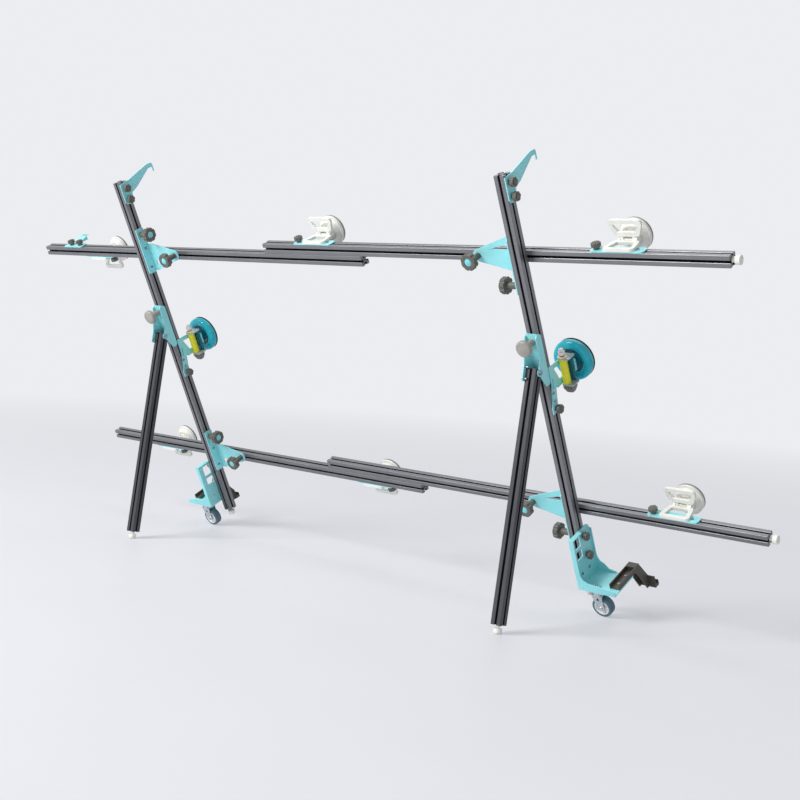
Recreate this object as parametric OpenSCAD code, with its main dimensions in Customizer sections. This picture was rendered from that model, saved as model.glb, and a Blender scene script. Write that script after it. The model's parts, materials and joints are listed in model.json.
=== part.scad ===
// Tile trolley: two slotted uprights on casters, two folding rear legs and two telescoping
// cross rails, with hooks, slab rests, suction lifters and pump cups that hold a large slab.
//
// Every piece is drawn upright first: X runs along the rails, Y points from the operator to
// the slab, whose back lies on Y = 0, and Z runs up the uprights from the slab's bottom edge.
// stand() then leans the whole trolley back on its casters and leg feet.

/* [Profile] */
// Width and depth of the square slotted profile
profile_w = 40; // [38:1:42]
// Width of a slot's mouth
slot_w = 8.2; // [8.2:0.1:9]
// Thickness of the lips beside a slot
lip_t = 4.5; // [4:0.5:5]
// Width of the slot behind its lips
cavity_w = 16; // [15.6:0.2:17]
// Depth of the slot from the profile's face
cavity_depth = 12; // [11.5:0.25:12.5]
// Diameter of the hole along the profile's middle
core_d = 6.8; // [6:0.2:8]

/* [Frame] */
// Distance from the middle of the trolley to each upright
upright_x = 971; // [900:1:1050]
// Length of an upright
upright_len = 1600; // [1560:1:1700]
// Height of an upright's lower end above the slab's bottom edge
upright_z = 45; // [40:1:60]
// Length of a rail
rail_len = 1950; // [1900:1:2000]
// How far a rail's outer end stands past its upright
rail_overhang = 730; // [700:1:760]
// Distance from an upright's top down to the upper left rail
upper_rail_drop = 331; // [315:1:355]
// Height of the lower left rail
lower_rail_z = 336; // [332:1:380]
// Distance from the slab's back to the rails' middle
rail_back = 112; // [110:1:120]

/* [Sheet metal] */
// Thickness of the folded sheet brackets
sheet_t = 4; // [3:0.5:5]
// Distance from an upright's middle to the rail knob of a corner bracket
corner_reach = 178; // [160:1:200]
// Distance from a rail's middle to the upright knob of a corner bracket
corner_drop = 98; // [94:1:110]

/* [Clamp knobs] */
// Diameter of a large knob's head
knob_d = 60; // [50:1:66]
// Thickness of a large knob's head
knob_h = 20; // [14:1:24]
// Length of a large knob's hub
hub_len = 44; // [36:1:50]
// Diameter of a large knob's hub
hub_d = 26; // [22:1:30]
// Diameter of a small knob's head
small_knob_d = 32; // [26:1:34]
// Height of a small knob
small_knob_h = 24; // [18:1:28]
// Diameter of the clamp studs
stud_d = 8; // [7:0.5:8]

/* [Legs] */
// Angle between a leg and its upright when it stands open
leg_angle = 34; // [30:0.5:36]
// Length of a leg from its pivot to its lower end
leg_len = 857; // [830:1:880]
// Height of the leg's pivot
pivot_z = 961.4; // [940:0.1:980]
// Distance from an upright's front face to the leg's pivot
pivot_front = 30; // [28:1:34]
// Diameter of the leg's pivot pin
pivot_d = 10; // [8:0.5:12]
// Diameter of an adjusting foot
foot_d = 30; // [26:1:36]
// How far an adjusting foot stands past the profile's end
foot_len = 30; // [26:1:36]

/* [Casters] */
// Diameter of a wheel
wheel_d = 80; // [76:1:84]
// Width of a wheel
wheel_w = 32; // [28:1:32]
// Height of a wheel's axle below the foot bracket's base
caster_drop = 75; // [73:1:80]
// Distance from an upright's middle to the swivel's axis
swivel_x = 84; // [82:1:92]
// How far the wheel trails behind the swivel's axis
trail = 10; // [6:1:14]
// Diameter of the axle
axle_d = 8; // [6:1:10]

/* [Foot brackets] */
// Height of the base plate's underside
base_z = 96; // [94:1:100]
// Height of the bracket's top
foot_top_z = 306; // [296:1:306]
// Width of the base plate
base_w = 152; // [146:1:160]
// Distance from an upright's front face to the bracket's front
foot_front = 66; // [64:1:70]

/* [Slab rests] */
// Room for the slab's thickness
slab_room = 16; // [12:1:20]
// Height of the rest's front plate above the slab's bottom edge
rest_front_h = 35; // [25:1:45]
// Length of the rest along the slab
rest_len = 68; // [60:1:80]

/* [Hooks] */
// Height of a hook's inner edge above the upright's top
hook_over = 7; // [0:1:14]
// Width of the hook's arm
hook_arm_w = 18; // [14:1:22]

/* [Suction lifters] */
// Diameter of a lifter's rubber disc
lifter_d = 114; // [108:1:124]
// Width of a lifter's lever
handle_w = 118; // [110:1:134]
// Thickness of a lifter's handle
handle_t = 10; // [8:1:12]
// Angle between a lifter's lever and its fixed handle
lever_angle = 82; // [76:1:90]

/* [Pump cups] */
// Diameter of the ring
ring_d = 152; // [140:1:156]
// Thickness of the ring
ring_t = 34; // [30:1:36]
// Diameter of the pump's barrel
barrel_d = 28; // [25:0.5:29]
// Length of the pump's barrel
barrel_len = 100; // [92:1:104]
// Stroke of the pump's button
pump_stroke = 9; // [6:1:12]
// Diameter of the pump's stem
stem_d = 19; // [16:0.5:20]

/* [Hidden] */
$fn = 48;

// Clearances
seat_gap = 0.3;
run_gap = 0.05;
stud_hole = stud_d + 2 * run_gap;
bolt_d = 6;
bolt_hole = bolt_d + 2 * run_gap;

// Places of the profiles
half = profile_w / 2;
rail_y = -rail_back;
rail_front = rail_y - half;
upright_y = rail_front - half - seat_gap;
upright_front = upright_y - half;
upright_back = upright_y + half;
upright_top = upright_z + upright_len;
upper_rail_z = upright_top - upper_rail_drop;
hook_z = upright_top + hook_over;
stack = profile_w + seat_gap;
rail_x0 = [-upright_x - rail_overhang, upright_x + rail_overhang - rail_len];
side_gap = half + seat_gap;

// Legs: the pivot, the leg's direction and the foot's rounded end
pivot_y = upright_front - pivot_front;
leg_top = 12;
foot_dome = 40;
leg_dir = [-sin(leg_angle), -cos(leg_angle)];
dome = [pivot_y, pivot_z] + (leg_len + foot_len - foot_dome) * leg_dir;

// Casters: the edge of the tread that meets the floor
swivel_y = upright_front - 36;
wheel_z = base_z - caster_drop;
tread_chamfer = 4;
tread_edge = [swivel_y - wheel_w / 2 + tread_chamfer, wheel_z - wheel_d / 2];

// Lean that puts the treads and the leg feet on one floor
span = dome - tread_edge;
lean = acos(foot_dome / norm(span)) + atan2(span[0], span[1]);

// Foot bracket and slab rest
foot_y0 = upright_front - foot_front;
foot_y1 = rail_y + 8;
strip_w = 18;
base_top = base_z + sheet_t;
rest_floor = -2;
rest_pad = 8;
rest_bottom = rest_floor - rest_pad - sheet_t;
rest_front_gap = 4;
rest_x0 = 128;
arm_x0 = 130;
arm_w = 40;
arm_h = 18;
rest_skin = 3;

// The origin lies on the floor, midway between the ends of the rails and between the uprights'
// tops and the slab rests
function lean_y(p) = p[0] * cos(lean) - p[1] * sin(lean);
function lean_z(p) = p[0] * sin(lean) + p[1] * cos(lean);
floor_z = lean_z(tread_edge);
rest_back = slab_room - rest_front_gap + sheet_t;
middle_y = (lean_y([rest_back, rest_bottom]) + lean_y([upright_front, upright_top])) / 2;
middle_x = foot_len / 2;

module stand() {
    translate([-middle_x, -middle_y, -floor_z])
        rotate([lean, 0, 0])
            children();
}

// Colours
black = "#2b2c2e";
teal = "#86dde2";
knob_grey = "#5f5c55";
rest_brown = "#4a463c";
cup_cyan = "#12b4c6";
pump_yellow = "#f2ee20";
plain_white = "#f4f2ea";
zinc = "#c9cdd0";
steel = "#8f9497";
tyre_blue = "#56707c";

// Outline helpers

function turn(a, b) = atan2(b[1] - a[1], b[0] - a[0]) - 90;
function onward(a, b) = b < a ? onward(a, b + 360) : b;

// Convex outline around centres listed anticlockwise, with round corners
function rounded(c, r, steps = 5) = [
    for (i = [0 : len(c) - 1])
        let (before = c[(i + len(c) - 1) % len(c)], after = c[(i + 1) % len(c)])
        let (a0 = turn(before, c[i]), a1 = onward(a0, turn(c[i], after)))
        for (k = [0 : steps])
            c[i] + r * [cos(a0 + (a1 - a0) * k / steps), sin(a0 + (a1 - a0) * k / steps)]];

function box_pts(x0, x1, y0, y1) = [[x0, y0], [x1, y0], [x1, y1], [x0, y1]];

// Plate in the YZ plane, from x0 to x0 + t, outline given as [y, z]
module plate_x(x0, t) {
    translate([x0, 0, 0])
        rotate([90, 0, 90])
            linear_extrude(t)
                children();
}

// Plate in the XZ plane, from y0 to y0 + t, outline given as [x, z]
module plate_y(y0, t) {
    translate([0, y0 + t, 0])
        rotate([90, 0, 0])
            linear_extrude(t)
                children();
}

// Plate in the XY plane, from z0 to z0 + t
module plate_z(z0, t) {
    translate([0, 0, z0])
        linear_extrude(t)
            children();
}

module rod_x(x0, y, z, d, l) {
    translate([x0, y, z])
        rotate([0, 90, 0])
            cylinder(d = d, h = l);
}

module rod_y(x, y0, z, d, l) {
    translate([x, y0, z])
        rotate([-90, 0, 0])
            cylinder(d = d, h = l);
}

// Slotted profile

module slot_2d() {
    chamfer = 1.2;
    floor_w = slot_w + 0.8;
    polygon([
        [-slot_w / 2, half - lip_t - 1], [slot_w / 2, half - lip_t - 1], [slot_w / 2, half - chamfer],
        [slot_w / 2 + chamfer, half], [slot_w / 2 + chamfer, half + 1], [-slot_w / 2 - chamfer, half + 1],
        [-slot_w / 2 - chamfer, half], [-slot_w / 2, half - chamfer]]);
    polygon([
        [-cavity_w / 2, half - lip_t], [cavity_w / 2, half - lip_t],
        [cavity_w / 2, half - cavity_depth + 3.5], [floor_w / 2, half - cavity_depth],
        [-floor_w / 2, half - cavity_depth], [-cavity_w / 2, half - cavity_depth + 3.5]]);
}

module profile_2d() {
    corner_r = 2;
    difference() {
        polygon(rounded(box_pts(corner_r - half, half - corner_r, corner_r - half, half - corner_r),
            corner_r, 3));
        for (a = [0, 90, 180, 270])
            rotate(a)
                slot_2d();
        circle(d = core_d);
    }
}

module upright(side) {
    color(black)
        translate([side * upright_x, upright_y, upright_z])
            linear_extrude(upright_len)
                profile_2d();
}

function rail_z(side, base) = side < 0 ? base : base + stack;
function rail_start(side) = side < 0 ? rail_x0[0] : rail_x0[1];

module rail(side, base) {
    color(black)
        translate([rail_start(side), rail_y, rail_z(side, base)])
            rotate([90, 0, 90])
                linear_extrude(rail_len)
                    profile_2d();
}

// Corner brackets: a flange on the upright's inner side and a web on the rail's front.
// The left pair is the right pair turned half round, so its upright knob is above the rail.

web_top = 70;
web_bottom = 50;
flange_top = 75;
flange_end = corner_drop + 27;
corner_bolt_z = [48, -36];

module corner_web_2d() {
    tip_r = 22;
    difference() {
        union() {
            polygon([
                [-half, -web_bottom], [-half, web_top], [-48, web_top],
                [-corner_reach - 6, tip_r - 1], [-corner_reach - 6, 1 - tip_r], [-56, -web_bottom]]);
            translate([-corner_reach, 0])
                circle(r = tip_r);
        }
        polygon([[-48, half + 3], [-48, half + 24], [-128, half + 4], [-128, half + 3]]);
        translate([-corner_reach, 0])
            circle(d = stud_hole);
    }
}

module corner_flange_2d() {
    r = 8;
    difference() {
        polygon(rounded(box_pts(upright_front + r, rail_front - r, r - flange_end, flange_top - r), r));
        translate([upright_y, -corner_drop])
            circle(d = stud_hole);
        for (z = corner_bolt_z)
            translate([upright_y, z])
                circle(d = bolt_hole);
    }
}

module corner_bracket() {
    plate_y(rail_front - sheet_t, sheet_t)
        corner_web_2d();
    plate_x(-side_gap - sheet_t, sheet_t)
        corner_flange_2d();
}

// Stands what is drawn for the right upright's corner at either side
module at_corner(side, base) {
    translate([side * upright_x, 0, rail_z(side, base)])
        rotate([0, side < 0 ? 180 : 0, 0])
            children();
}

module corner_brackets(side) {
    color(teal)
        for (base = [upper_rail_z, lower_rail_z])
            at_corner(side, base)
                corner_bracket();
}

// Large clamp knob: stud, hub and scalloped head, standing on Z = 0

stud_reach = sheet_t + seat_gap + cavity_depth - 1.5;

module clamp_knob() {
    lobes = 8;
    difference() {
        union() {
            cylinder(d1 = hub_d - 4, d2 = hub_d, h = hub_len);
            translate([0, 0, hub_len])
                cylinder(d = knob_d, h = knob_h - 2);
            translate([0, 0, hub_len + knob_h - 2])
                cylinder(d1 = knob_d, d2 = knob_d - 5, h = 2);
        }
        for (i = [0 : lobes - 1])
            rotate(i * 360 / lobes)
                translate([knob_d / 2 + 3.5, 0, hub_len - 1])
                    cylinder(r = 7, h = knob_h + 2);
        translate([0, 0, hub_len + knob_h - 2.5])
            cylinder(d = knob_d * 0.5, h = 3);
    }
    translate([0, 0, -stud_reach])
        cylinder(d = stud_d, h = stud_reach + 1);
}

module rail_knob(side, base) {
    color(knob_grey)
        at_corner(side, base)
            translate([-corner_reach, rail_front - sheet_t, 0])
                rotate([90, 0, 0])
                    clamp_knob();
}

module upright_knob(side, base) {
    color(knob_grey)
        at_corner(side, base)
            translate([-side_gap - sheet_t, upright_y, -corner_drop])
                rotate([0, -90, 0])
                    clamp_knob();
}

// Small knob on its own stud, standing on Z = 0
module small_knob() {
    lobes = 6;
    difference() {
        union() {
            cylinder(d = small_knob_d * 0.6, h = small_knob_h);
            translate([0, 0, small_knob_h * 0.35])
                cylinder(d = small_knob_d, h = small_knob_h * 0.55);
        }
        for (i = [0 : lobes - 1])
            rotate(i * 360 / lobes)
                translate([small_knob_d / 2 + 2.5, 0, -1])
                    cylinder(r = 4.5, h = small_knob_h + 2);
    }
    translate([0, 0, -stud_reach])
        cylinder(d = stud_d, h = stud_reach + 1);
}

// Slot nut under a lip, on the stud's axis, for a plate whose outer face is on Z = 0
module slot_nut() {
    nut_t = 4;
    top = -sheet_t - seat_gap - lip_t - 0.3;
    difference() {
        translate([-9, -cavity_w / 2 + 1, top - nut_t])
            cube([18, cavity_w - 2, nut_t]);
        translate([0, 0, top - nut_t - 1])
            cylinder(d = stud_hole, h = nut_t + 2);
    }
}

// Button-head bolt with a hex socket, its shank in the slot behind the plate
module bolt(reach = 6) {
    difference() {
        union() {
            cylinder(d1 = 2 * bolt_d, d2 = 1.5 * bolt_d, h = 3.5);
            translate([0, 0, -reach])
                cylinder(d = bolt_d, h = reach + 1);
        }
        translate([0, 0, 1.5])
            cylinder(d = 4.6, h = 3, $fn = 6);
    }
}

// Leg bracket: a channel on the upright's front whose flanges carry the leg's pivot

leg_web_top = 1092;
leg_web_bottom = 925;
leg_knob_z = pivot_z + 101;
leg_flange_lap = 17;
leg_flange_low = leg_web_bottom - 28;
stop_r = 4;
stop_off = half + stop_r + seat_gap;
stop_along = [14, -25];
stop_len = 12;

function leg_point(along, off) =
    [pivot_y, pivot_z] + along * -leg_dir + off * [-cos(leg_angle), sin(leg_angle)];

// Left flange, which also carries the stops that the open leg leans on
module stop_flange_2d() {
    y0 = upright_front;
    stops = [for (a = stop_along) leg_point(a, stop_off)];
    difference() {
        union() {
            polygon([
                [y0, leg_web_top - 6], [y0, leg_web_bottom], [y0 - 22, leg_web_bottom],
                [stops[1][0] - 2, stops[1][1] - 10], [stops[1][0] - 9, stops[1][1] + 3],
                [stops[0][0] - 6, stops[0][1] + 8], [y0 - 18, leg_web_top - 22], [y0 - 12, leg_web_top - 6]]);
            for (p = stops)
                translate(p)
                    circle(r = 10);
        }
        translate([pivot_y, pivot_z])
            circle(d = pivot_d + 2 * run_gap);
        for (p = stops)
            translate(p)
                circle(r = stop_r + run_gap);
    }
}

// Right flange: a strip that laps over the upright's side, with a lug round the pivot
module pivot_flange_2d() {
    y0 = upright_front;
    y1 = y0 + leg_flange_lap;
    lug_r = pivot_d / 2 + 8;
    difference() {
        union() {
            polygon([
                [y1, leg_web_top - 12], [y1, leg_flange_low + 6], [y1 - 8, leg_flange_low], [y0 - 4, leg_flange_low],
                [y0 - 10, leg_flange_low + 8], [pivot_y, pivot_z - lug_r], [pivot_y, pivot_z + lug_r],
                [y0 - 13, pivot_z + 40], [y0 - 13, leg_web_top - 12], [y0 - 7, leg_web_top - 3],
                [y1 - 8, leg_web_top - 3]]);
            translate([pivot_y, pivot_z])
                circle(r = lug_r);
        }
        translate([pivot_y, pivot_z])
            circle(d = pivot_d + 2 * run_gap);
    }
}

module leg_bracket(side) {
    color(teal)
        translate([side * upright_x, 0, 0]) {
            difference() {
                plate_y(upright_front - sheet_t, sheet_t)
                    polygon(rounded(box_pts(6 - side_gap - sheet_t, side_gap + sheet_t - 6,
                        leg_web_bottom + 6, leg_web_top - 6), 6));
                rod_y(0, upright_front - sheet_t - 1, leg_knob_z, stud_d + 2 * run_gap, sheet_t + 2);
            }
            plate_x(side_gap, sheet_t)
                pivot_flange_2d();
            plate_x(-side_gap - sheet_t, sheet_t)
                stop_flange_2d();
        }
}

module leg_knob(side) {
    color(knob_grey)
        translate([side * upright_x, upright_front - sheet_t, leg_knob_z])
            rotate([90, 0, 0])
                clamp_knob();
}

// Stands what is drawn along -Z from the leg's pivot
module at_leg(side) {
    translate([side * upright_x, pivot_y, pivot_z])
        rotate([-leg_angle, 0, 0])
            children();
}

module leg(side) {
    color(black)
        at_leg(side)
            difference() {
                translate([0, 0, -leg_len])
                    linear_extrude(leg_len + leg_top)
                        profile_2d();
                rod_x(-half - 1, 0, 0, pivot_d + 2 * run_gap, profile_w + 2);
            }
}

// Adjusting foot whose stud screws into a profile's end at Z = 0, pointing to -Z
module end_foot() {
    neck = 12;
    translate([0, 0, -neck - 1])
        cylinder(d = 10, h = neck + 1);
    translate([0, 0, -1])
        cylinder(d = core_d - 2 * run_gap, h = 19);
    translate([0, 0, -5])
        cylinder(d = 18, h = 5, $fn = 6);
    intersection() {
        translate([0, 0, -foot_len])
            cylinder(d = foot_d, h = foot_len - neck);
        translate([0, 0, foot_dome - foot_len])
            sphere(r = foot_dome, $fn = 96);
    }
}

module leg_foot(side) {
    color(plain_white)
        at_leg(side)
            translate([0, 0, -leg_len])
                end_foot();
}

module end_feet(side) {
    color(plain_white) {
        translate([side * upright_x, upright_y, upright_z])
            end_foot();
        if (side > 0)
            for (base = [upper_rail_z, lower_rail_z])
                translate([rail_start(side) + rail_len, rail_y, rail_z(side, base)])
                    rotate([0, -90, 0])
                        end_foot();
    }
}

// Foot bracket, drawn for the right upright: wall, front and rear flanges, base and top lip

wall_x = side_gap;
base_x1 = wall_x + base_w;
gusset_h = 19;
swivel_d = 12;
rest_x = arm_x0 + arm_w / 2;
clamp_zs = [foot_top_z - 31, foot_top_z - 111];
window_y = [foot_y0 + 24, upright_front - 4];
rest_bolt_y = [-170, -120];
wall_bolt_y = [foot_y0 + 38, upright_y];
wall_bolt_z = base_z + 46;

module foot_wall_2d() {
    r = 4;
    difference() {
        polygon([
            [foot_y0, base_z], [foot_y1, base_z], [foot_y1, foot_top_z - 24], [foot_y1 - 6, foot_top_z - 8],
            [foot_y1 - 18, foot_top_z], [foot_y0, foot_top_z]]);
        for (z = [[foot_top_z - 58, foot_top_z - 10], [foot_top_z - 103, foot_top_z - 70]])
            polygon(rounded(box_pts(window_y[0] + r, window_y[1] - r, z[0] + r, z[1] - r), r, 4));
        for (z = clamp_zs)
            translate([upright_y, z])
                circle(d = stud_hole);
        for (z = [foot_top_z - 16, foot_top_z - 91])
            translate([foot_y0 + 13, z])
                circle(d = bolt_hole);
        for (y = wall_bolt_y)
            translate([y, wall_bolt_z])
                circle(d = bolt_hole);
    }
}

// Strip beside the upright that widens into a gusset over the base
module foot_flange_2d(strip, reach, tip_h, top) {
    edge = wall_x + strip;
    polygon([
        [wall_x, base_z], [reach, base_z], [reach, base_z + tip_h], [reach * 0.72, base_z + tip_h + 6],
        [edge + 26, base_z + 33], [edge + 10, base_z + 43], [edge + 2, base_z + 58], [edge, base_z + 76],
        [edge, top], [wall_x, top]]);
}

module foot_bracket(side) {
    color(teal)
        translate([side * upright_x, 0, 0])
            mirror([side < 0 ? 1 : 0, 0, 0]) {
                plate_x(wall_x, sheet_t)
                    foot_wall_2d();
                plate_y(foot_y0, sheet_t)
                    foot_flange_2d(strip_w, base_x1, gusset_h, foot_top_z);
                plate_y(foot_y1 - sheet_t, sheet_t)
                    foot_flange_2d(12, wall_x + 84, 8, foot_top_z - 24);
                plate_z(foot_top_z - sheet_t, sheet_t)
                    polygon(box_pts(wall_x, wall_x + strip_w, foot_y0, upright_front - 4));
                difference() {
                    plate_z(base_z, sheet_t)
                        polygon(box_pts(wall_x, base_x1, foot_y0, foot_y1));
                    translate([swivel_x, swivel_y, base_z - 1])
                        cylinder(d = swivel_d + 2 * run_gap, h = sheet_t + 2);
                    for (y = rest_bolt_y)
                        translate([rest_x, y, base_z - 1])
                            cylinder(d = bolt_hole, h = sheet_t + 2);
                }
            }
}

// Slab rest, drawn for the right upright: an arm on the base and a lined shoe under the slab

module rest_cheek_2d() {
    polygon([
        [-80, base_top], [-80, base_top + arm_h], [-52, base_top + arm_h],
        [-4, rest_front_h], [-4, rest_bottom], [-20, rest_bottom], [-62, base_top - 30]]);
}

module slab_rest(side) {
    shoe_y0 = -rest_front_gap - sheet_t;
    shoe_y1 = rest_back;
    color(rest_brown)
        translate([side * upright_x, 0, 0])
            mirror([side < 0 ? 1 : 0, 0, 0]) {
                difference() {
                    translate([arm_x0, -200, base_top])
                        cube([arm_w, 148, arm_h]);
                    translate([arm_x0 + rest_skin, -201, base_top + rest_skin])
                        cube([arm_w - 2 * rest_skin, 121, arm_h]);
                    for (y = rest_bolt_y)
                        translate([rest_x, y, base_top - 1])
                            cylinder(d = bolt_hole, h = rest_skin + 2);
                }
                for (x = [arm_x0 + 2, arm_x0 + arm_w - 6])
                    plate_x(x, 4)
                        rest_cheek_2d();
                plate_x(rest_x0, rest_len)
                    polygon([
                        [shoe_y0, rest_bottom], [shoe_y1, rest_bottom], [shoe_y1, rest_floor + 10],
                        [shoe_y1 - sheet_t, rest_floor + 10], [shoe_y1 - sheet_t, rest_floor],
                        [shoe_y0 + sheet_t, rest_floor], [shoe_y0 + sheet_t, rest_front_h],
                        [shoe_y0, rest_front_h]]);
            }
}

// Caster: swivel fork with its stem, axle and nut, and the wheel

fork_gap = wheel_w / 2 + 1.5;
fork_t = 3;
crown_z = wheel_z + wheel_d / 2 + 12;

module at_caster(side) {
    translate([side * (upright_x + swivel_x), swivel_y, 0])
        children();
}

module caster_fork(side) {
    color(zinc)
        at_caster(side) {
            plate_z(crown_z, 4)
                polygon(rounded(box_pts(-16, 16, 6 - fork_gap - fork_t, fork_gap + fork_t - 6), 6));
            translate([0, 0, crown_z + 3])
                cylinder(d1 = 44, d2 = 40, h = base_z - seat_gap - crown_z - 3);
            translate([0, 0, base_z - 1])
                cylinder(d = swivel_d, h = sheet_t + 12);
            translate([0, 0, base_top + seat_gap])
                cylinder(d = 20, h = 8, $fn = 6);
            for (y = [-fork_gap - fork_t, fork_gap])
                plate_y(y, fork_t)
                    difference() {
                        union() {
                            polygon([
                                [-22, crown_z + 4], [trail - 12, wheel_z - 2], [trail + 12, wheel_z - 2],
                                [22, crown_z + 4]]);
                            translate([trail, wheel_z])
                                circle(r = 12);
                        }
                        translate([4, crown_z - 14])
                            circle(r = 5);
                    }
            rod_y(trail, -fork_gap - fork_t - 3, wheel_z, axle_d, 2 * (fork_gap + fork_t + 3));
            for (y = [-fork_gap - fork_t - 4, fork_gap + fork_t])
                rod_y(trail, y, wheel_z, axle_d + 6, 4);
        }
}

module caster_wheel(side) {
    r = wheel_d / 2;
    w = wheel_w / 2;
    rim = r - 10;
    color(tyre_blue)
        at_caster(side)
            translate([trail, 0, wheel_z])
                rotate([90, 0, 0])
                    rotate_extrude($fn = 96)
                        polygon([
                            [axle_d / 2 + run_gap, -w - 1], [12, -w - 1], [12, -w + 6], [rim - 3, -w + 6],
                            [rim - 3, -w + 2], [rim, -w], [r - tread_chamfer, -w], [r, -w + tread_chamfer],
                            [r, w - tread_chamfer], [r - tread_chamfer, w], [rim, w], [rim - 3, w - 2],
                            [rim - 3, w - 6], [12, w - 6], [12, w + 1], [axle_d / 2 + run_gap, w + 1]]);
}

// Hooks: a plate on the upright's right side whose arm reaches over the slab's top edge

hook_knob_z = [hook_z - 34, hook_z - 82];

module hook_2d() {
    lip = 6;
    y_lip = slab_room - 2;
    difference() {
        polygon([
            [upright_front, hook_z - 90], [upright_front + 6, hook_z - 99], [upright_front + 14, hook_z - 102],
            [upright_back - 12, hook_z - 102], [upright_back - 4, hook_z - 98], [upright_back, hook_z - 88],
            [upright_back + 10, hook_z - 62], [upright_back + 42, hook_z - 50], [-8, hook_z],
            [y_lip, hook_z], [y_lip, hook_z - 19], [y_lip + lip, hook_z - 19],
            [y_lip + lip, hook_z + hook_arm_w - 8], [y_lip, hook_z + hook_arm_w],
            [-12, hook_z + hook_arm_w], [upright_back + 12, hook_z - 8], [upright_front, hook_z - 14]]);
        for (z = hook_knob_z)
            translate([upright_y, z])
                circle(d = stud_hole);
    }
}

module hook(side) {
    color(teal)
        translate([side * upright_x, 0, 0])
            plate_x(side_gap, sheet_t)
                hook_2d();
}

module hook_knobs(side) {
    color(knob_grey)
        for (z = hook_knob_z)
            translate([side * upright_x + side_gap + sheet_t, upright_y, z])
                rotate([0, 90, 0])
                    small_knob();
}

// Rail hook: a flat plate on the upper left rail that reaches round the slab's side edge

rail_hook_x = rail_x0[0] + 211;
rail_hook_z = upper_rail_z + half + seat_gap;
slab_edge_x = -1584;
rail_hook_knob_x = [-30, 30];

module rail_hook() {
    r = 8;
    color(teal)
        difference() {
            union() {
                plate_z(rail_hook_z, sheet_t) {
                    polygon(rounded(box_pts(rail_hook_x - 62, rail_hook_x + 48, rail_front + r,
                        rail_front + profile_w - r), r));
                    polygon([
                        [rail_hook_x - 40, rail_front + profile_w - r], [rail_hook_x + 2, rail_front + profile_w - r],
                        [slab_edge_x + 22, slab_room], [slab_edge_x - 8, slab_room + 6],
                        [slab_edge_x - 8, -14]]);
                }
                plate_x(slab_edge_x - 8, sheet_t)
                    polygon(box_pts(-6, slab_room + 6, rail_hook_z - 26, rail_hook_z + sheet_t));
            }
            translate([slab_edge_x - 4, -4, rail_hook_z - 1])
                cube([40, slab_room - 2, sheet_t + 2]);
            for (x = rail_hook_knob_x)
                translate([rail_hook_x + x, rail_y, rail_hook_z - 1])
                    cylinder(d = stud_hole, h = sheet_t + 2);
        }
}

module rail_hook_knobs() {
    color(knob_grey)
        for (x = rail_hook_knob_x)
            translate([rail_hook_x + x, rail_y, rail_hook_z + sheet_t])
                small_knob();
}

// Pump cups: a bracket on the upright's right side, the ring with its cradle, and the pump

cup_x = 38;
pump_x = 40;
pump_y = -82;
cup_back = -46;
function cup_z(side) = side < 0 ? 885 : 922;
vacuum_knob_drop = 123;
vacuum_bolt_z = [-64, -94];
barrel_z = -58;

module vacuum_plate_2d() {
    difference() {
        polygon([
            [upright_y + 1, -34], [upright_y + 1, 32], [-66, 30], [cup_back, 22], [cup_back, -26],
            [-84, -58], [-118, -60], [-128, -52], [upright_back - 6, -110], [upright_back - 8, -138],
            [upright_front, -138], [upright_front, -118]]);
        polygon([[-122, 15], [-99, -36], [-70, -34], [-76, 12]]);
        polygon([[upright_y + 11, -14], [upright_y + 15, -14], [upright_y + 8, -50], [upright_y + 4, -50]]);
        translate([upright_y, -vacuum_knob_drop])
            circle(d = stud_hole);
        for (z = vacuum_bolt_z)
            translate([upright_y, z])
                circle(d = bolt_hole);
    }
}

module at_cup(side) {
    translate([side * upright_x, 0, cup_z(side)])
        children();
}

module vacuum_bracket(side) {
    color(teal)
        at_cup(side) {
            plate_x(side_gap, sheet_t)
                vacuum_plate_2d();
            plate_y(cup_back - sheet_t, sheet_t)
                polygon(rounded(box_pts(side_gap + 6, cup_x + 22, -20, 16), 6));
        }
}

module vacuum_cup(side) {
    r = ring_t / 2;
    major = ring_d / 2 - r;
    color(cup_cyan)
        at_cup(side) {
            translate([cup_x, -r, 0])
                rotate([90, 0, 0]) {
                    rotate_extrude($fn = 96)
                        translate([major, 0])
                            circle(r = r);
                    translate([0, 0, -4])
                        cylinder(r = major - r + 6, h = 12);
                    translate([0, 0, 6])
                        cylinder(r = 24, h = -cup_back - r - 6);
                }
            for (z = [barrel_z - 5, barrel_z + barrel_len - 5])
                plate_z(z, 5)
                    difference() {
                        polygon(rounded(box_pts(pump_x - 6, pump_x + 24, pump_y - 8, cup_back - sheet_t - 8), 8));
                        translate([pump_x, pump_y])
                            circle(d = barrel_d + 2 * run_gap);
                    }
            translate([pump_x, pump_y, barrel_z - 5])
                cylinder(d = barrel_d - 1, h = 5 - seat_gap);
            for (step = [[-20, 15, 8], [-34, 15, 2]])
                plate_z(barrel_z + step[0], step[1])
                    polygon(rounded(box_pts(pump_x - step[2], pump_x + 14 + step[2],
                        pump_y - step[2], pump_y + 8 + step[2]), 6));
            translate([pump_x - 10, cup_back - sheet_t - 10, barrel_z - 5])
                cube([30, 10, barrel_len + 5]);
        }
}

module pump_barrel(side) {
    color(pump_yellow)
        at_cup(side)
            translate([pump_x, pump_y, barrel_z])
                difference() {
                    cylinder(d = barrel_d, h = barrel_len + 2);
                    translate([0, 0, barrel_len - pump_stroke - 16])
                        cylinder(d = stem_d + 2 * run_gap, h = pump_stroke + 20);
                }
}

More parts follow.
